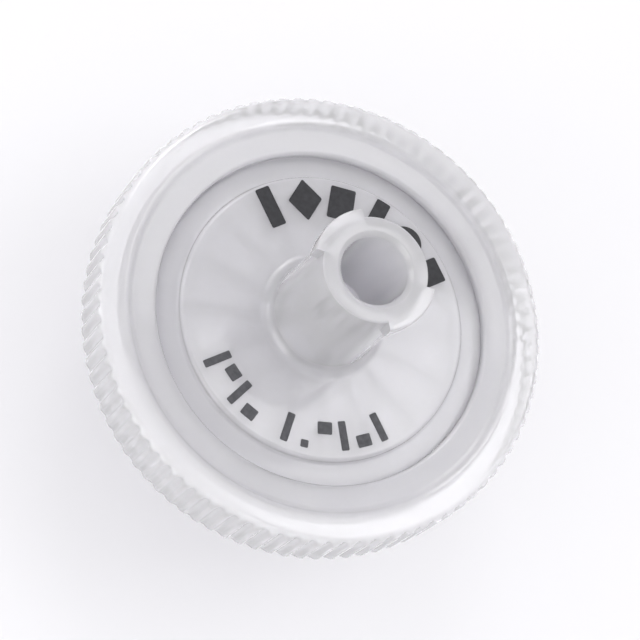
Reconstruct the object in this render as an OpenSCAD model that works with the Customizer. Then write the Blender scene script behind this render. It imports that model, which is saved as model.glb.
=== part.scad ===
// Disposable syringe filter. Two moulded shells clamp a membrane disc between them, and a knurled ring
// moulded around their joint closes the housing for good. The axis is +Z: the male outlet tip ends at
// z = 0 and the female inlet hub points up. Lengths are in millimetres.

/* [Membrane] */
// Diameter of the membrane disc
membrane_d = 25; // [20:0.5:40]
// Thickness of the membrane disc
membrane_t = 0.2; // [0.1:0.05:0.4]
// Width of the membrane's edge that the two shells clamp
clamp_w = 1.6; // [1:0.1:2.4]

/* [Shells] */
// Width of the bare land outside the membrane, where the shells meet
weld_w = 0.8; // [0.5:0.1:1.5]
// Thickness of the inlet plate under its printed face
inlet_plate_t = 1.5; // [1.3:0.1:3]
// Thickness of the outlet plate
outlet_plate_t = 1.4; // [1.2:0.1:3]
// Width of the groove around the printed face
groove_w = 1.5; // [0.8:0.1:2.5]
// Depth of the groove around the printed face
groove_depth = 0.5; // [0.2:0.05:0.7]
// Running clearance at the round seats between pieces
seat_gap = 0.02; // [0.01:0.01:0.05]

/* [Chamber] */
// Free height over the membrane at the chamber's rim
chamber_h = 0.45; // [0.4:0.05:0.8]
// Radius of the deeper middle of the inlet chamber
well_r = 8.4; // [5:0.1:9]
// Extra height of the inlet chamber inside that radius
well_depth = 0.15; // [0.05:0.05:0.3]
// Number of radial ribs in the inlet chamber
inlet_ribs = 16; // [8:1:24]
// Height of the inlet chamber's ribs
inlet_rib_h = 0.3; // [0.1:0.05:0.35]
// Height of the outlet shell's ribs, which carry the membrane
outlet_rib_h = 0.35; // [0.2:0.05:0.6]
// Width of every rib
rib_w = 0.5; // [0.3:0.05:0.7]
// Distance between the outlet shell's ring-shaped ribs
rib_pitch = 1.2; // [1:0.1:2]
// Number of drain channels cut through the ring-shaped ribs
drains = 8; // [4:1:12]
// Width of a drain channel
drain_w = 0.7; // [0.4:0.1:1]

/* [Inlet hub] */
// Height of the hub over the printed face
hub_h = 9.6; // [8:0.1:14]
// Outer diameter of the hub at its open end
hub_end_d = 6.7; // [6.2:0.1:7.2]
// Outer diameter of the hub where it meets the plate, before its fillet
hub_base_d = 7; // [6.6:0.1:8]
// Radius of the fillet around the hub's foot
hub_fillet = 0.8; // [0.3:0.1:2]
// Diameter of the tapered socket at its mouth
socket_d = 4.29; // [4.2:0.01:4.4]
// Depth of the tapered socket
socket_depth = 7.8; // [7:0.1:9]
// Chamfer around the socket's mouth
mouth_chamfer = 0.3; // [0.1:0.05:0.5]
// Diameter across the two locking lugs
lug_d = 7.8; // [7.4:0.05:8.2]
// Height of a lug at its outer face
lug_h = 1.3; // [0.8:0.1:2]
// Angle that one lug spans around the hub
lug_angle = 64; // [40:1:90]
// Rise of a lug's sloping underside toward its outer face
lug_slope = 0.25; // [0.1:0.05:0.5]

/* [Outlet tip] */
// Length of the tapered tip, from its end to the collar
tip_l = 7.9; // [7:0.1:10]
// Diameter of the tip at its end
tip_d = 3.95; // [3.8:0.01:4.1]
// Taper of tip and socket, as change of diameter over length
luer_taper = 0.06; // [0.05:0.005:0.07]
// Bore through the tip and the inlet channel
bore_d = 2.4; // [1.4:0.1:2.6]
// Chamfer where the bore opens at the tip's end
bore_chamfer = 0.15; // [0.05:0.05:0.25]
// Radius around the tip's outer end
tip_round = 0.15; // [0.05:0.05:0.3]
// Diameter of the collar over the tip
collar_d = 6; // [5.2:0.1:7]
// Straight height of the collar
collar_h = 0.4; // [0.2:0.1:1.5]
// Radius of the flare from the collar to the outlet plate
flare_r = 2.05; // [1:0.05:3]

/* [Sealing ring] */
// Radial thickness of the ring outside the shells
ring_wall = 1.5; // [1.2:0.1:2.5]
// Width of the ring's lip over the inlet shell
inlet_lip_w = 3.9; // [3.2:0.1:4.6]
// Width of the ring's raised outer band on the inlet side
band_w = 1.9; // [1.4:0.1:2.4]
// Height of that band over the rest of the lip
band_h = 0.35; // [0.1:0.05:0.6]
// Width of the ring's lip over the outlet shell
outlet_lip_w = 2.5; // [2.3:0.1:3.5]
// Height of the outlet lip over the outlet plate
outlet_lip_h = 0.35; // [0.1:0.05:0.6]
// Thickness of the ring's two lips where they grip the shells
lip_t = 0.9; // [0.7:0.05:1]
// Radius around the ring's two outer edges
edge_round = 0.6; // [0.4:0.1:1]
// Distance between the knurl's grooves around the rim
knurl_pitch = 1.03; // [0.8:0.01:2]
// Depth of the knurl's grooves
knurl_depth = 0.25; // [0.1:0.05:0.35]

/* [Hidden] */
$fn = 96;

// Radii, from the membrane outward
membrane_r = membrane_d / 2;
pocket_r = membrane_r + seat_gap;
shell_r = membrane_r + weld_w;
ring_r = shell_r + ring_wall;
chamber_r = membrane_r - clamp_w;
inlet_lip_r = ring_r - inlet_lip_w;
outlet_lip_r = ring_r - outlet_lip_w;
band_r = ring_r - band_w;
face_r = inlet_lip_r - groove_w;

// Heights, from the tip's end upward
collar_z = tip_l;
flare_z = collar_z + collar_h;
outlet_face_z = flare_z + flare_r;
ring_bottom_z = outlet_face_z - outlet_lip_h;
floor_z = outlet_face_z + outlet_plate_t;
seat_z = floor_z + outlet_rib_h;
joint_z = seat_z + membrane_t;
ceiling_z = joint_z + chamber_h;
face_z = ceiling_z + inlet_plate_t;
groove_z = face_z - groove_depth;
ring_top_z = face_z + band_h;
hub_z = face_z + hub_h;

// Seats that the ring's lips grip
upper_seat_z = face_z - lip_t;
lower_seat_z = ring_bottom_z + lip_t;

// Small edge breaks, how deep a rib is rooted in its plate, how far the radial ribs stay from the
// channel, and how far a cut runs past what it cuts
edge_break = 0.12;
root = 0.4;
rib_inset = 0.48;
overshoot = 1;

hub_end_r = hub_end_d / 2;
hub_base_r = hub_base_d / 2;
bore_r = bore_d / 2;
// Middle of the hub's wall at its mouth, where the lugs are rooted
lug_root_r = (socket_d / 2 + mouth_chamfer + hub_end_r) / 2;

// The knurl's grooves are round cuts that leave a narrow flat between them
knurl_n = round(2 * PI * ring_r / knurl_pitch);
groove_share = 0.35;
groove_r = knurl_pitch * groove_share;

function taper_r(d, run) = d / 2 + run * luer_taper / 2;
function arc(x, y, r, from, to, steps = 8) =
    [for (i = [0:steps]) let (a = from + (to - from) * i / steps) [x + r * cos(a), y + r * sin(a)]];

module inlet_body() {
    rotate_extrude() polygon(concat(
        [[bore_r, ceiling_z + well_depth + edge_break], [bore_r, hub_z - socket_depth],
            [taper_r(socket_d, -socket_depth), hub_z - socket_depth],
            [taper_r(socket_d, -mouth_chamfer), hub_z - mouth_chamfer],
            [socket_d / 2 + mouth_chamfer, hub_z],
            [hub_end_r - edge_break, hub_z], [hub_end_r, hub_z - edge_break]],
        arc(hub_base_r + hub_fillet, face_z + hub_fillet, hub_fillet, 180, 270),
        [[face_r - edge_break, face_z], [face_r, face_z - edge_break], [face_r, groove_z],
            [inlet_lip_r - seat_gap, groove_z], [inlet_lip_r - seat_gap, upper_seat_z],
            [shell_r, upper_seat_z], [shell_r, joint_z], [chamber_r, joint_z], [chamber_r, ceiling_z],
            [well_r, ceiling_z], [well_r, ceiling_z + well_depth],
            [bore_r + edge_break, ceiling_z + well_depth]]));
}

module lug() {
    rotate([0, 0, -lug_angle / 2]) rotate_extrude(angle = lug_angle) polygon([
        [lug_root_r, hub_z], [lug_d / 2 - edge_break, hub_z], [lug_d / 2, hub_z - edge_break],
        [lug_d / 2, hub_z - lug_h], [lug_root_r, hub_z - lug_h - lug_slope]]);
}

module inlet_rib() {
    from = bore_r + rib_inset;
    translate([from, -rib_w / 2, ceiling_z - inlet_rib_h])
        cube([well_r + root - from, rib_w, inlet_rib_h + root]);
}

module inlet_shell() {
    color([0.93, 0.94, 0.96]) union() {
        inlet_body();
        for (side = [0, 180]) rotate([0, 0, side]) lug();
        for (i = [0:inlet_ribs - 1]) rotate([0, 0, 360 * i / inlet_ribs]) inlet_rib();
    }
}

module outlet_body() {
    rotate_extrude() polygon(concat(
        [[bore_r, floor_z - edge_break], [bore_r, bore_chamfer], [bore_r + bore_chamfer, 0]],
        arc(tip_d / 2 - tip_round, tip_round, tip_round, -90, 0, 4),
        [[taper_r(tip_d, tip_l), collar_z], [collar_d / 2 - edge_break, collar_z],
            [collar_d / 2, collar_z + edge_break]],
        arc(collar_d / 2 + flare_r, flare_z, flare_r, 180, 90),
        [[outlet_lip_r - seat_gap, outlet_face_z], [outlet_lip_r - seat_gap, lower_seat_z],
            [shell_r, lower_seat_z], [shell_r, joint_z], [pocket_r, joint_z], [pocket_r, seat_z],
            [chamber_r, seat_z], [chamber_r, floor_z], [bore_r + edge_break, floor_z]]));
}

module ring_ribs() {
    first = bore_r + rib_pitch;
    difference() {
        for (r = [first:rib_pitch:chamber_r - rib_pitch])
            rotate_extrude() translate([r, floor_z - root]) square([rib_w, outlet_rib_h + root]);
        for (i = [0:drains - 1]) rotate([0, 0, 360 * i / drains])
            translate([0, -drain_w / 2, floor_z - root - overshoot])
                cube([chamber_r, drain_w, outlet_rib_h + root + 2 * overshoot]);
    }
}

module outlet_shell() {
    color([0.9, 0.91, 0.94]) union() {
        outlet_body();
        ring_ribs();
    }
}

module membrane() {
    color("white") translate([0, 0, seat_z]) cylinder(r = membrane_r, h = membrane_t);
}

module ring_body() {
    rotate_extrude() polygon(concat(
        [[outlet_lip_r, lower_seat_z], [outlet_lip_r, ring_bottom_z + edge_break],
            [outlet_lip_r + edge_break, ring_bottom_z]],
        arc(ring_r - edge_round, ring_bottom_z + edge_round, edge_round, -90, 0, 5),
        arc(ring_r - edge_round, ring_top_z - edge_round, edge_round, 0, 90, 5),
        [[band_r, ring_top_z], [band_r - band_h, face_z], [inlet_lip_r + edge_break, face_z],
            [inlet_lip_r, face_z - edge_break], [inlet_lip_r, upper_seat_z],
            [shell_r + seat_gap, upper_seat_z], [shell_r + seat_gap, lower_seat_z]]));
}

module knurl_grooves() {
    for (i = [0:knurl_n - 1]) rotate([0, 0, 360 * i / knurl_n])
        translate([ring_r + groove_r - knurl_depth, 0, ring_bottom_z - overshoot])
            cylinder(r = groove_r, h = ring_top_z - ring_bottom_z + 2 * overshoot, $fn = 16);
}

module sealing_ring() {
    color([0.88, 0.89, 0.92]) difference() {
        ring_body();
        knurl_grooves();
    }
}

inlet_shell();
outlet_shell();
membrane();
sealing_ring();
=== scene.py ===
import math

import bmesh
import bpy
from mathutils import Matrix, Vector


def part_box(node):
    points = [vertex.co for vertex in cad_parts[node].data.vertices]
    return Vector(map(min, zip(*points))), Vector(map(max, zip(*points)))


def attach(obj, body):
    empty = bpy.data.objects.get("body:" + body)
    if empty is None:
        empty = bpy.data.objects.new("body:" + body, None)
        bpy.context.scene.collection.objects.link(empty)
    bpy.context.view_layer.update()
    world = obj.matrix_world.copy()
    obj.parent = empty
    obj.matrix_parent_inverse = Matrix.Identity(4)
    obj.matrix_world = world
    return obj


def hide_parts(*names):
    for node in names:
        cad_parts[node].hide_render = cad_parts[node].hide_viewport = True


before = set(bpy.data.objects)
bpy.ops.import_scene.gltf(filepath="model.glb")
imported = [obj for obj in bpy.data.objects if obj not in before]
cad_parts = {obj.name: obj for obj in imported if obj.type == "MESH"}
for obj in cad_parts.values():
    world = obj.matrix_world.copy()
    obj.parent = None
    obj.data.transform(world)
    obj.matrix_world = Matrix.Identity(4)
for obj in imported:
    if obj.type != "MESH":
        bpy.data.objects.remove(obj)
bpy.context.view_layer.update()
print("frame:", len(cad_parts), "nodes loaded")

mm = 0.001  # shapes are made in millimetres, and scaled when their mesh is finished
fullTurn = 2 * math.pi
rightAngle = 90  # degrees


def nodeBox(node):
    low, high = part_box(node)
    return low / mm, high / mm


inletLow, inletHigh = nodeBox("inlet_shell")
outletLow = nodeBox("outlet_shell")[0]
discLow, discHigh = nodeBox("membrane")
ringLow, ringHigh = nodeBox("sealing_ring")

# What several pieces share. Radii and heights come from the nodes' boxes.
housing = {
    "shellRadius": inletHigh.y,
    "ringRadius": ringHigh.y,
    "discRadius": discHigh.y,
    "tipZ": outletLow.z,
    "jointZ": inletLow.z,
    "hubZ": inletHigh.z,
    "ringBottomZ": ringLow.z,
    "ringTopZ": ringHigh.z,
    "boreRadius": 1.2,
    "luerSlope": 0.03,  # of the radius, over the length of a luer taper
    "clampWidth": 1.6,
    "lipThickness": 0.9,
    "bandWidth": 1.9,
    "bandHeight": 0.35,
    "inletLipWidth": 3.9,
    "outletLipWidth": 2.5,
    "outletLipHeight": 0.35,
    "seatGap": 0.02,
    "skinGap": 0.01,  # half of the hairline kept between surfaces that touch
    "ribWidth": 0.5,
    "ribRoot": 0.4,
    "edge": 0.12,
    "sharpAngle": 40,
    "steps": 192,
}
chamberRadius = housing["discRadius"] - housing["clampWidth"]
inletLipRadius = housing["ringRadius"] - housing["inletLipWidth"]
outletLipRadius = housing["ringRadius"] - housing["outletLipWidth"]
bandRadius = housing["ringRadius"] - housing["bandWidth"]
faceZ = housing["ringTopZ"] - housing["bandHeight"]
upperSeatZ = faceZ - housing["lipThickness"]
lowerSeatZ = housing["ringBottomZ"] + housing["lipThickness"]
outletFaceZ = housing["ringBottomZ"] + housing["outletLipHeight"]

turning = {
    "fineSegments": 4,
    "roundSegments": 8,
    "roundFrom": 0.3,  # a corner larger than this gets the round segments
    "hairline": 0.0005,
}


# Turns a closed section round the axis. Each of its points is (radius, z, corner radius).
def spinOutline(outline, steps, angle=fullTurn, start=0.0):
    bm = bmesh.new()
    loop = [bm.verts.new((radius, 0, z)) for radius, z, _ in outline]
    for here, there in zip(loop, loop[1:] + loop[:1]):
        bm.edges.new((here, there))
    corners = {}
    for vert, (_, _, corner) in zip(loop, outline):
        if corner:
            corners.setdefault(corner, []).append(vert)
    for corner, verts in corners.items():
        large = corner > turning["roundFrom"]
        segments = turning["roundSegments"] if large else turning["fineSegments"]
        bmesh.ops.bevel(bm, geom=verts, offset=corner, offset_type="OFFSET", affect="VERTICES",
                        segments=segments, profile=0.5, material=-1)
    bmesh.ops.rotate(bm, verts=bm.verts, cent=(0, 0, 0), matrix=Matrix.Rotation(start, 3, "Z"))
    bmesh.ops.spin(bm, geom=bm.verts[:] + bm.edges[:], cent=(0, 0, 0), axis=(0, 0, 1), angle=angle,
                   steps=steps, use_merge=angle == fullTurn, use_duplicate=False)
    if angle != fullTurn:
        bmesh.ops.holes_fill(bm, edges=[edge for edge in bm.edges if edge.is_boundary], sides=0)
    bmesh.ops.recalc_face_normals(bm, faces=bm.faces)
    return bm


def toObject(bm, name):
    mesh = bpy.data.meshes.new(name)
    bm.to_mesh(mesh)
    bm.free()
    piece = bpy.data.objects.new(name, mesh)
    bpy.context.scene.collection.objects.link(piece)
    return piece


# Adds one bmesh to another, still as a closed solid of its own.
def mergeInto(target, source):
    mesh = bpy.data.meshes.new("merge")
    source.to_mesh(mesh)
    source.free()
    target.from_mesh(mesh)
    bpy.data.meshes.remove(mesh)


# A union leaves hairline faces where its two surfaces all but meet: their points are merged.
def closeHairlines(mesh):
    bm = bmesh.new()
    bm.from_mesh(mesh)
    before = len(bm.faces)
    bmesh.ops.remove_doubles(bm, verts=bm.verts, dist=turning["hairline"])
    bmesh.ops.dissolve_degenerate(bm, edges=bm.edges, dist=turning["hairline"])
    print("hairline faces taken out:", before - len(bm.faces))
    bm.to_mesh(mesh)
    bm.free()


# Clear plastic has no walls inside it, so what is moulded on is joined by a boolean union.
def joinSolids(body, extras):
    join = body.modifiers.new("join", "BOOLEAN")
    join.operation = "UNION"
    join.solver = "MANIFOLD"
    join.object = extras
    graph = bpy.context.evaluated_depsgraph_get()
    joined = bpy.data.meshes.new_from_object(body.evaluated_get(graph))
    closeHairlines(joined)
    body.modifiers.clear()
    plain = body.data
    body.data = joined
    bpy.data.meshes.remove(plain)
    bpy.data.objects.remove(extras)


def finishPiece(piece, shader, sharpAngle, node=None):
    piece.data.transform(Matrix.Scale(mm, 4))
    piece.data.materials.clear()
    piece.data.materials.append(shader)
    piece.data.shade_smooth()
    piece.data.set_sharp_from_angle(angle=math.radians(sharpAngle))
    weighted = piece.modifiers.new("flat faces stay flat", "WEIGHTED_NORMAL")
    weighted.keep_sharp = True
    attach(piece, "root")
    if node:
        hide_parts(node)
    print(piece.name + ":", len(piece.data.polygons), "faces")


def newShader(name):
    shader = bpy.data.materials.new(name)
    shader.use_nodes = True
    nodes = shader.node_tree.nodes
    return shader, nodes, shader.node_tree.links, nodes["Principled BSDF"]


def noiseOn(nodes, links, scale, detail):
    coords = nodes.new("ShaderNodeTexCoord")
    noise = nodes.new("ShaderNodeTexNoise")
    noise.inputs["Scale"].default_value = scale
    noise.inputs["Detail"].default_value = detail
    links.new(coords.outputs["Object"], noise.inputs["Vector"])
    return noise.outputs["Fac"]


noiseMiddle = (0.3, 0.7)


# A colour that drifts from low to high over the middle of the noise's range.
def driftBetween(nodes, links, source, low, high):
    ramp = nodes.new("ShaderNodeValToRGB")
    for stop, place, colour in zip(ramp.color_ramp.elements, noiseMiddle, (low, high)):
        stop.position = place
        stop.color = (*colour, 1)
    links.new(source, ramp.inputs["Fac"])
    return ramp.outputs["Color"]


def spreadBetween(nodes, links, source, low, high):
    spread = nodes.new("ShaderNodeMapRange")
    spread.inputs["To Min"].default_value = low
    spread.inputs["To Max"].default_value = high
    links.new(source, spread.inputs["Value"])
    return spread.outputs["Result"]


# Natural polypropylene: milky inside, partly see-through, with a smooth glossy skin.
plastic = {
    "ior": 1.49,
    "roughness": (0.1, 0.17),
    "coatRoughness": 0.05,
    "scatterDepth": 0.0013,  # metres
    "flowScale": 300,
    "flowDetail": 3,
    "grainScale": 1500,
    "grainDetail": 2,
    "grainStrength": 0.04,
    "grainDepth": 0.00005,  # metres
    "shell": {"pale": (0.975, 0.966, 1.0), "deep": (0.96, 0.948, 0.992), "clearness": 0.67},
    "ring": {"pale": (0.972, 0.963, 0.999), "deep": (0.957, 0.945, 0.99), "clearness": 0.63},
}


def makePlastic(name, tone):
    shader, nodes, links, skin = newShader(name)
    flow = noiseOn(nodes, links, plastic["flowScale"], plastic["flowDetail"])
    colour = driftBetween(nodes, links, flow, tone["deep"], tone["pale"])
    links.new(colour, skin.inputs["Base Color"])
    roughness = spreadBetween(nodes, links, flow, *plastic["roughness"])
    links.new(roughness, skin.inputs["Roughness"])
    skin.inputs["IOR"].default_value = plastic["ior"]
    skin.inputs["Transmission Weight"].default_value = tone["clearness"]
    skin.inputs["Subsurface Weight"].default_value = 1.0
    skin.inputs["Subsurface Radius"].default_value = (1.0, 1.0, 1.0)
    skin.inputs["Subsurface Scale"].default_value = plastic["scatterDepth"]
    skin.inputs["Coat Weight"].default_value = 1.0
    skin.inputs["Coat Roughness"].default_value = plastic["coatRoughness"]
    skin.inputs["Coat IOR"].default_value = plastic["ior"]
    bump = nodes.new("ShaderNodeBump")
    bump.inputs["Strength"].default_value = plastic["grainStrength"]
    bump.inputs["Distance"].default_value = plastic["grainDepth"]
    grain = noiseOn(nodes, links, plastic["grainScale"], plastic["grainDetail"])
    links.new(grain, bump.inputs["Height"])
    links.new(bump.outputs["Normal"], skin.inputs["Normal"])
    return shader


# Inlet shell: luer hub with socket and lugs, stepped plate with a groove round its face, ribs below
inlet = {
    "plateThickness": 1.5,
    "grooveWidth": 1.5,
    "grooveDepth": 0.5,
    "grooveRound": 0.2,
    "faceRound": 0.26,
    "wellRadius": 8.4,
    "wellDepth": 0.15,
    "wellRound": 0.05,
    "cornerRound": 0.1,
    "hubEndRadius": 3.35,
    "hubBaseRadius": 3.5,
    "hubFillet": 0.8,
    "socketRadius": 2.145,
    "socketDepth": 7.8,
    "socketRound": 0.1,
    "mouthChamfer": 0.3,
    "mouthRound": 0.06,
    "lugRadius": 3.9,
    "lugHeight": 1.3,
    "lugSlope": 0.25,
    "lugAngle": 64,
    "lugSteps": 32,
    "lugRound": (0.15, 0.1),
    "ribCount": 16,
    "ribHeight": 0.3,
    "ribInset": 0.48,
}


def inletLugs(extras, rootRadius):
    s, z = inlet, housing["hubZ"]
    low = z - s["lugHeight"]
    turn = math.radians(s["lugAngle"])
    for side in (0, math.pi):
        mergeInto(extras, spinOutline([
            (rootRadius, z, 0), (s["lugRadius"], z, s["lugRound"][0]),
            (s["lugRadius"], low, s["lugRound"][1]), (rootRadius, low - s["lugSlope"], 0),
        ], s["lugSteps"], turn, side - turn / 2))


def inletRibs(extras, ceilingZ):
    s = inlet
    start = housing["boreRadius"] + s["ribInset"]
    length = s["wellRadius"] + housing["ribRoot"] - start
    middleZ = ceilingZ + (housing["ribRoot"] - s["ribHeight"]) / 2
    height = s["ribHeight"] + housing["ribRoot"]
    for i in range(s["ribCount"]):
        place = (Matrix.Rotation(fullTurn * i / s["ribCount"], 4, "Z")
                 @ Matrix.Translation((start + length / 2, 0, middleZ))
                 @ Matrix.Diagonal((length, housing["ribWidth"], height, 1)))
        bmesh.ops.create_cube(extras, size=1, matrix=place)


def inletShell(shader):
    s, z, bore = inlet, housing["hubZ"], housing["boreRadius"]
    shellRadius = housing["shellRadius"]
    ceilingZ = faceZ - s["plateThickness"]
    wellZ = ceilingZ + s["wellDepth"]
    grooveZ = faceZ - s["grooveDepth"]
    socketZ = z - s["socketDepth"]
    bottom = housing["jointZ"] + housing["skinGap"]
    seat = upperSeatZ - housing["skinGap"]
    faceRadius = inletLipRadius - s["grooveWidth"]
    lipWall = inletLipRadius - housing["seatGap"]
    floorRadius = s["socketRadius"] - s["socketDepth"] * housing["luerSlope"]
    mouthRadius = s["socketRadius"] - s["mouthChamfer"] * housing["luerSlope"]
    endRadius = s["socketRadius"] + s["mouthChamfer"]
    body = toObject(spinOutline([
        (bore, wellZ, housing["edge"]), (bore, socketZ, 0),
        (floorRadius, socketZ, s["socketRound"]),
        (mouthRadius, z - s["mouthChamfer"], s["socketRound"]),
        (endRadius, z, s["mouthRound"]), (s["hubEndRadius"], z, housing["edge"]),
        (s["hubBaseRadius"], faceZ, s["hubFillet"]), (faceRadius, faceZ, s["faceRound"]),
        (faceRadius, grooveZ, s["grooveRound"]), (lipWall, grooveZ, 0), (lipWall, seat, 0),
        (shellRadius, seat, s["cornerRound"]), (shellRadius, bottom, 0),
        (chamberRadius, bottom, 0), (chamberRadius, ceilingZ, s["cornerRound"]),
        (s["wellRadius"], ceilingZ, s["wellRound"]), (s["wellRadius"], wellZ, s["wellRound"]),
    ], housing["steps"]), "inlet_shell_moulding")
    extras = bmesh.new()
    inletLugs(extras, (endRadius + s["hubEndRadius"]) / 2)
    inletRibs(extras, ceilingZ)
    joinSolids(body, toObject(extras, "lugs and ribs"))
    finishPiece(body, shader, housing["sharpAngle"], "inlet_shell")


# Outlet shell: luer tip, collar and flare, plate, ring-shaped ribs parted by drains
outlet = {
    "plateThickness": 1.4,
    "supportHeight": 0.35,
    "cornerRound": 0.1,
    "tipEndRadius": 1.975,
    "tipLength": 7.9,
    "tipRound": 0.15,
    "tipFootRound": 0.08,
    "boreChamfer": 0.15,
    "collarRadius": 3.0,
    "flare": 2.05,
    "ribPitch": 1.2,
    "ribSteps": 10,
    "drains": 8,
    "drainWidth": 0.7,
}


# Arcs that carry the membrane. The gaps between them are in line, as drains to the bore.
def outletRibs(extras, floorZ, supportZ):
    s, bore = outlet, housing["boreRadius"]
    root = floorZ - housing["ribRoot"]
    sector = fullTurn / s["drains"]
    ribs = math.floor((chamberRadius - bore) / s["ribPitch"]) - 1
    for rib in range(ribs):
        inner = bore + (rib + 1) * s["ribPitch"]
        outer = inner + housing["ribWidth"]
        drain = 2 * math.asin(s["drainWidth"] / (inner + outer))
        for i in range(s["drains"]):
            mergeInto(extras, spinOutline([
                (inner, root, 0), (outer, root, 0), (outer, supportZ, 0), (inner, supportZ, 0),
            ], s["ribSteps"], sector - drain, i * sector + drain / 2))


def outletShell(shader):
    s, z, bore = outlet, housing["tipZ"], housing["boreRadius"]
    shellRadius = housing["shellRadius"]
    top = housing["jointZ"] - housing["skinGap"]
    seat = lowerSeatZ + housing["skinGap"]
    floorZ = outletFaceZ + s["plateThickness"]
    supportZ = floorZ + s["supportHeight"]
    collarZ = z + s["tipLength"]
    tipFoot = s["tipEndRadius"] + s["tipLength"] * housing["luerSlope"]
    lipWall = outletLipRadius - housing["seatGap"]
    pocket = housing["discRadius"] + housing["seatGap"]
    body = toObject(spinOutline([
        (bore, floorZ, housing["edge"]), (bore, z + s["boreChamfer"], 0),
        (bore + s["boreChamfer"], z, 0), (s["tipEndRadius"], z, s["tipRound"]),
        (tipFoot, collarZ, s["tipFootRound"]), (s["collarRadius"], collarZ, housing["edge"]),
        (s["collarRadius"], outletFaceZ, s["flare"]), (lipWall, outletFaceZ, 0),
        (lipWall, seat, 0), (shellRadius, seat, s["cornerRound"]), (shellRadius, top, 0),
        (pocket, top, 0), (pocket, supportZ, 0), (chamberRadius, supportZ, 0),
        (chamberRadius, floorZ, s["cornerRound"]),
    ], housing["steps"]), "outlet_shell_moulding")
    extras = bmesh.new()
    outletRibs(extras, floorZ, supportZ)
    joinSolids(body, toObject(extras, "support ribs"))
    finishPiece(body, shader, housing["sharpAngle"], "outlet_shell")


# Membrane: a thin disc of porous sheet whose edge is gripped between the shells
membrane = {
    "segments": 180,
    "grainScale": 3500,
    "grainDetail": 4,
    "roughness": 0.85,
    "pale": (0.97, 0.97, 0.97),
    "deep": (0.86, 0.86, 0.88),
}


def makeSheet():
    shader, nodes, links, skin = newShader("porous white sheet")
    grain = noiseOn(nodes, links, membrane["grainScale"], membrane["grainDetail"])
    white = driftBetween(nodes, links, grain, membrane["deep"], membrane["pale"])
    links.new(white, skin.inputs["Base Color"])
    skin.inputs["Roughness"].default_value = membrane["roughness"]
    return shader


def membraneDisc(shader):
    low, high = discLow.z + housing["skinGap"], discHigh.z - housing["skinGap"]
    radius = housing["discRadius"]
    bm = bmesh.new()
    bmesh.ops.create_cone(bm, cap_ends=True, segments=membrane["segments"], radius1=radius,
                          radius2=radius, depth=high - low,
                          matrix=Matrix.Translation((0, 0, (low + high) / 2)))
    disc = toObject(bm, "membrane_disc")
    finishPiece(disc, shader, housing["sharpAngle"], "membrane")


# Sealing ring: two lips over the shells, a raised band and a knurled rim
ring = {
    "knurlPitch": 1.03,
    "knurlDepth": 0.25,
    "grooveShare": 0.35,  # a groove's radius as a share of the pitch
    "stepsPerGroove": 10,
    "rimRound": 0.6,
    "bandRound": 0.2,
    "lipRound": 0.26,
    "outletLipRound": 0.15,
    "sharpAngle": 50,
}


# Presses round grooves into the rim: no point stays inside a groove's circle.
def cutKnurl(bm, count):
    grooveRadius = ring["knurlPitch"] * ring["grooveShare"]
    centre = housing["ringRadius"] + grooveRadius - ring["knurlDepth"]
    for vert in bm.verts:
        radius = math.hypot(vert.co.x, vert.co.y)
        share = (math.atan2(vert.co.y, vert.co.x) * count / fullTurn + 0.5) % 1 - 0.5
        offset = share * fullTurn / count
        across = centre * math.sin(offset)
        if abs(across) < grooveRadius:
            limit = centre * math.cos(offset) - math.sqrt(grooveRadius ** 2 - across ** 2)
            if radius > limit:
                vert.co.x *= limit / radius
                vert.co.y *= limit / radius


def sealingRing(shader):
    s, rim = ring, housing["ringRadius"]
    top, bottom = housing["ringTopZ"], housing["ringBottomZ"]
    count = round(fullTurn * rim / s["knurlPitch"])
    shellWall = housing["shellRadius"] + housing["seatGap"]
    upperSeat, lowerSeat = upperSeatZ + housing["skinGap"], lowerSeatZ - housing["skinGap"]
    bm = spinOutline([
        (outletLipRadius, lowerSeat, 0), (outletLipRadius, bottom, s["outletLipRound"]),
        (rim, bottom, s["rimRound"]), (rim, top, s["rimRound"]),
        (bandRadius, top, s["bandRound"]),
        (bandRadius - housing["bandHeight"], faceZ, s["bandRound"]),
        (inletLipRadius, faceZ, s["lipRound"]), (inletLipRadius, upperSeat, 0),
        (shellWall, upperSeat, 0), (shellWall, lowerSeat, 0),
    ], count * s["stepsPerGroove"])
    cutKnurl(bm, count)
    body = toObject(bm, "sealing_ring_moulding")
    finishPiece(body, shader, s["sharpAngle"], "sealing_ring")


# Print: plain marks in two arcs on the inlet face, an ink film thick. Sizes are (across, high).
ink = {
    "film": 0.02,
    "lift": 0.001,
    "radius": 7.8,
    "upTurn": 117.2,
    "boldSpan": 90,
    "boldRound": 0.12,
    "bar": (1.0, 2.7),
    "diamond": (2.3, 2.8),
    "slab": (1.7, 2.2),
    "disc": (2.3, 2.3),
    "discSides": 40,
    "fineSpan": 91,
    "fineRound": 0.08,
    "stroke": (0.5, 1.9),
    "tab": (0.95, 0.8),
    "tabShift": 0.5,
    "dot": (0.5, 0.5),
    "dotShift": 0.7,
    "roundSegments": 4,
    "sharpAngle": 30,
    "boldColour": (0.022, 0.022, 0.025),
    "fineColour": (0.06, 0.06, 0.066),
    "thinFilm": 1.5,  # how much paler the ink is where it is thin
    "filmScale": 2600,
    "filmDetail": 3,
    "roughness": 0.45,
    "shine": 0.3,
}


def makeInk(name, colour):
    shader, nodes, links, skin = newShader(name)
    film = noiseOn(nodes, links, ink["filmScale"], ink["filmDetail"])
    thin = tuple(part * ink["thinFilm"] for part in colour)
    links.new(driftBetween(nodes, links, film, colour, thin), skin.inputs["Base Color"])
    skin.inputs["Roughness"].default_value = ink["roughness"]
    skin.inputs["Specular IOR Level"].default_value = ink["shine"]
    return shader


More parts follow.
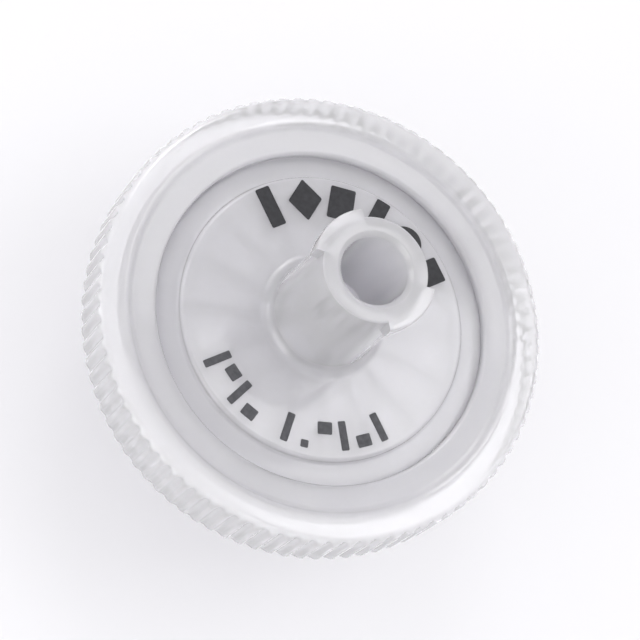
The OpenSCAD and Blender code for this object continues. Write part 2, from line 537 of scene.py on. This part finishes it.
def roundMark(size, sides):
    across, high = size[0] / 2, size[1] / 2
    turns = [fullTurn * i / sides for i in range(sides)]
    return [(across * math.cos(turn), high * math.sin(turn)) for turn in turns]


def blockMark(size, middle=0.0):
    corners = ((-1, -1), (1, -1), (1, 1), (-1, 1))
    return [(x * size[0] / 2, middle + y * size[1] / 2) for x, y in corners]


# One flat mark from its corner points, its top outward, at an angle on the arc.
def layMark(bm, corners, turn, rounding):
    mark = bmesh.new()
    face = mark.faces.new([mark.verts.new((x, y, 0)) for x, y in corners])
    if rounding:
        bmesh.ops.bevel(mark, geom=face.verts[:], offset=rounding, offset_type="OFFSET",
                        affect="VERTICES", segments=ink["roundSegments"], profile=0.5, material=-1)
    film = bmesh.ops.extrude_face_region(mark, geom=mark.faces[:], use_keep_orig=True)
    raised = [part for part in film["geom"] if isinstance(part, bmesh.types.BMVert)]
    bmesh.ops.translate(mark, verts=raised, vec=(0, 0, ink["film"]))
    bmesh.ops.recalc_face_normals(mark, faces=mark.faces)
    place = (Matrix.Rotation(math.radians(turn - rightAngle), 4, "Z")
             @ Matrix.Translation((0, ink["radius"], faceZ + ink["lift"])))
    bmesh.ops.transform(mark, matrix=place, verts=mark.verts)
    mergeInto(bm, mark)


def boldMarks(shader):
    bar, slab = blockMark(ink["bar"]), blockMark(ink["slab"])
    disc, diamond = roundMark(ink["disc"], ink["discSides"]), roundMark(ink["diamond"], 4)
    marks = [bar, diamond, slab, bar, disc, slab]
    bm = bmesh.new()
    for i, mark in enumerate(marks):
        turn = ink["upTurn"] + ink["boldSpan"] * (0.5 - i / (len(marks) - 1))
        layMark(bm, mark, turn, 0 if mark is disc else ink["boldRound"])
    finishPiece(toObject(bm, "print_bold_marks"), shader, ink["sharpAngle"])


def fineMarks(shader):
    stroke, dot = blockMark(ink["stroke"]), blockMark(ink["dot"], ink["dotShift"])
    low, high = blockMark(ink["tab"], -ink["tabShift"]), blockMark(ink["tab"], ink["tabShift"])
    marks = [stroke, low, stroke, high, None, stroke, dot, low, stroke, high, stroke]
    bm = bmesh.new()
    for i, mark in enumerate(marks):
        if mark:
            share = i / (len(marks) - 1) - 0.5
            turn = ink["upTurn"] + 2 * rightAngle + ink["fineSpan"] * share
            layMark(bm, mark, turn, ink["fineRound"])
    finishPiece(toObject(bm, "print_fine_marks"), shader, ink["sharpAngle"])


shellPlastic = makePlastic("shell plastic", plastic["shell"])
inletShell(shellPlastic)
outletShell(shellPlastic)
membraneDisc(makeSheet())
sealingRing(makePlastic("ring plastic", plastic["ring"]))
boldMarks(makeInk("bold ink", ink["boldColour"]))
fineMarks(makeInk("fine ink", ink["fineColour"]))

# Studio: a pale floor that fades into a plain backdrop, an even room and four soft boxes.
# Its lengths are in metres. A lamp is (place, size, watts), and every lamp faces the filter.
studio = {
    "floorRadius": 0.6,
    "floorSegments": 96,
    "floorColour": (0.86, 0.853, 0.875),
    "floorRoughness": 0.6,
    "floorGlow": 0.4,
    "fadeFrom": 0.03,
    "fadeTo": 0.15,
    "backdropColour": (0.9, 0.89, 0.925),
    "roomLight": 0.98,
    "lamps": {
        "back box": ((0.125, 0.16, 0.33), 0.22, 0.23),
        "front box": ((-0.09, -0.36, 0.17), 0.25, 0.35),
        "left box": ((-0.3, -0.14, 0.15), 0.12, 0.09),
        "far box": ((-0.17, 0.16, 0.3), 0.12, 0.13),
    },
    "elevation": 64,
    "lean": 48,  # how far the hub leans over to the right of upright
    "lens": 150,
    "clip": (0.01, 10),
    "frameWidth": 0.0405,
    "aim": (0, 0, 0.0135),
    "bounces": {"max": 24, "diffuse": 12, "glossy": 8, "transmission": 24},
}


# 1 for the rays that see the backdrop: seen directly, mirrored, or through clear plastic.
def seenDirectly(nodes, links):
    path = nodes.new("ShaderNodeLightPath")
    seen = path.outputs["Is Camera Ray"]
    for kind in ("Is Glossy Ray", "Is Transmission Ray"):
        either = nodes.new("ShaderNodeMath")
        either.operation = "MAXIMUM"
        links.new(seen, either.inputs[0])
        links.new(path.outputs[kind], either.inputs[1])
        seen = either.outputs[0]
    return seen


def makeFloor():
    bm = bmesh.new()
    bmesh.ops.create_circle(bm, cap_ends=True, radius=studio["floorRadius"],
                            segments=studio["floorSegments"])
    floor = toObject(bm, "floor")
    shader, nodes, links, skin = newShader("pale floor")
    skin.inputs["Base Color"].default_value = (*studio["floorColour"], 1)
    skin.inputs["Roughness"].default_value = studio["floorRoughness"]
    coords = nodes.new("ShaderNodeTexCoord")
    distance = nodes.new("ShaderNodeVectorMath")
    distance.operation = "LENGTH"
    links.new(coords.outputs["Object"], distance.inputs[0])
    fade = nodes.new("ShaderNodeMapRange")
    fade.interpolation_type = "SMOOTHSTEP"
    fade.inputs["From Min"].default_value = studio["fadeFrom"]
    fade.inputs["From Max"].default_value = studio["fadeTo"]
    fade.inputs["To Min"].default_value = studio["floorGlow"]
    links.new(distance.outputs["Value"], fade.inputs["Value"])
    share = nodes.new("ShaderNodeMath")
    share.operation = "MULTIPLY"
    links.new(fade.outputs["Result"], share.inputs[0])
    links.new(seenDirectly(nodes, links), share.inputs[1])
    glow = nodes.new("ShaderNodeEmission")
    glow.inputs["Color"].default_value = (*studio["backdropColour"], 1)
    mix = nodes.new("ShaderNodeMixShader")
    links.new(share.outputs[0], mix.inputs["Fac"])
    links.new(skin.outputs["BSDF"], mix.inputs[1])
    links.new(glow.outputs["Emission"], mix.inputs[2])
    links.new(mix.outputs["Shader"], nodes["Material Output"].inputs["Surface"])
    floor.data.materials.append(shader)


def makeWorld():
    world = bpy.data.worlds.new("soft room")
    bpy.context.scene.world = world
    world.use_nodes = True
    nodes, links = world.node_tree.nodes, world.node_tree.links
    room = nodes["Background"]
    room.inputs["Color"].default_value = (1, 1, 1, 1)
    room.inputs["Strength"].default_value = studio["roomLight"]
    backdrop = nodes.new("ShaderNodeBackground")
    backdrop.inputs["Color"].default_value = (*studio["backdropColour"], 1)
    mix = nodes.new("ShaderNodeMixShader")
    links.new(seenDirectly(nodes, links), mix.inputs["Fac"])
    links.new(room.outputs["Background"], mix.inputs[1])
    links.new(backdrop.outputs["Background"], mix.inputs[2])
    links.new(mix.outputs["Shader"], nodes["World Output"].inputs["Surface"])


def makeCamera():
    raised = math.radians(studio["elevation"])
    back = Vector((0, -math.cos(raised), math.sin(raised)))
    upright = Vector((0, math.sin(raised), math.cos(raised)))
    up = Matrix.Rotation(math.radians(studio["lean"]), 3, back) @ upright
    data = bpy.data.cameras.new("camera")
    data.lens = studio["lens"]
    data.clip_start, data.clip_end = studio["clip"]
    camera = bpy.data.objects.new("camera", data)
    bpy.context.scene.collection.objects.link(camera)
    aim = Vector(studio["aim"])
    place = aim + back * studio["frameWidth"] * studio["lens"] / data.sensor_width
    turned = Matrix((up.cross(back), up, back)).transposed()
    camera.matrix_world = Matrix.Translation(place) @ turned.to_4x4()
    bpy.context.scene.camera = camera


def makeLamp(name, place, size, power):
    data = bpy.data.lights.new(name, "AREA")
    data.shape = "SQUARE"
    data.size = size
    data.energy = power
    lamp = bpy.data.objects.new(name, data)
    bpy.context.scene.collection.objects.link(lamp)
    lamp.location = place
    toAim = Vector(studio["aim"]) - lamp.location
    lamp.rotation_euler = toAim.to_track_quat("-Z", "Y").to_euler()


makeFloor()
makeWorld()
makeCamera()
for name, (place, size, power) in studio["lamps"].items():
    makeLamp(name, place, size, power)

# Light passes many skins of clear plastic before it gets out again.
cycles = bpy.context.scene.cycles
cycles.max_bounces = studio["bounces"]["max"]
cycles.diffuse_bounces = studio["bounces"]["diffuse"]
cycles.glossy_bounces = studio["bounces"]["glossy"]
cycles.transmission_bounces = studio["bounces"]["transmission"]
bpy.context.scene.view_settings.view_transform = "Standard"
print("studio: floor, room, camera and", len(studio["lamps"]), "lamps placed")
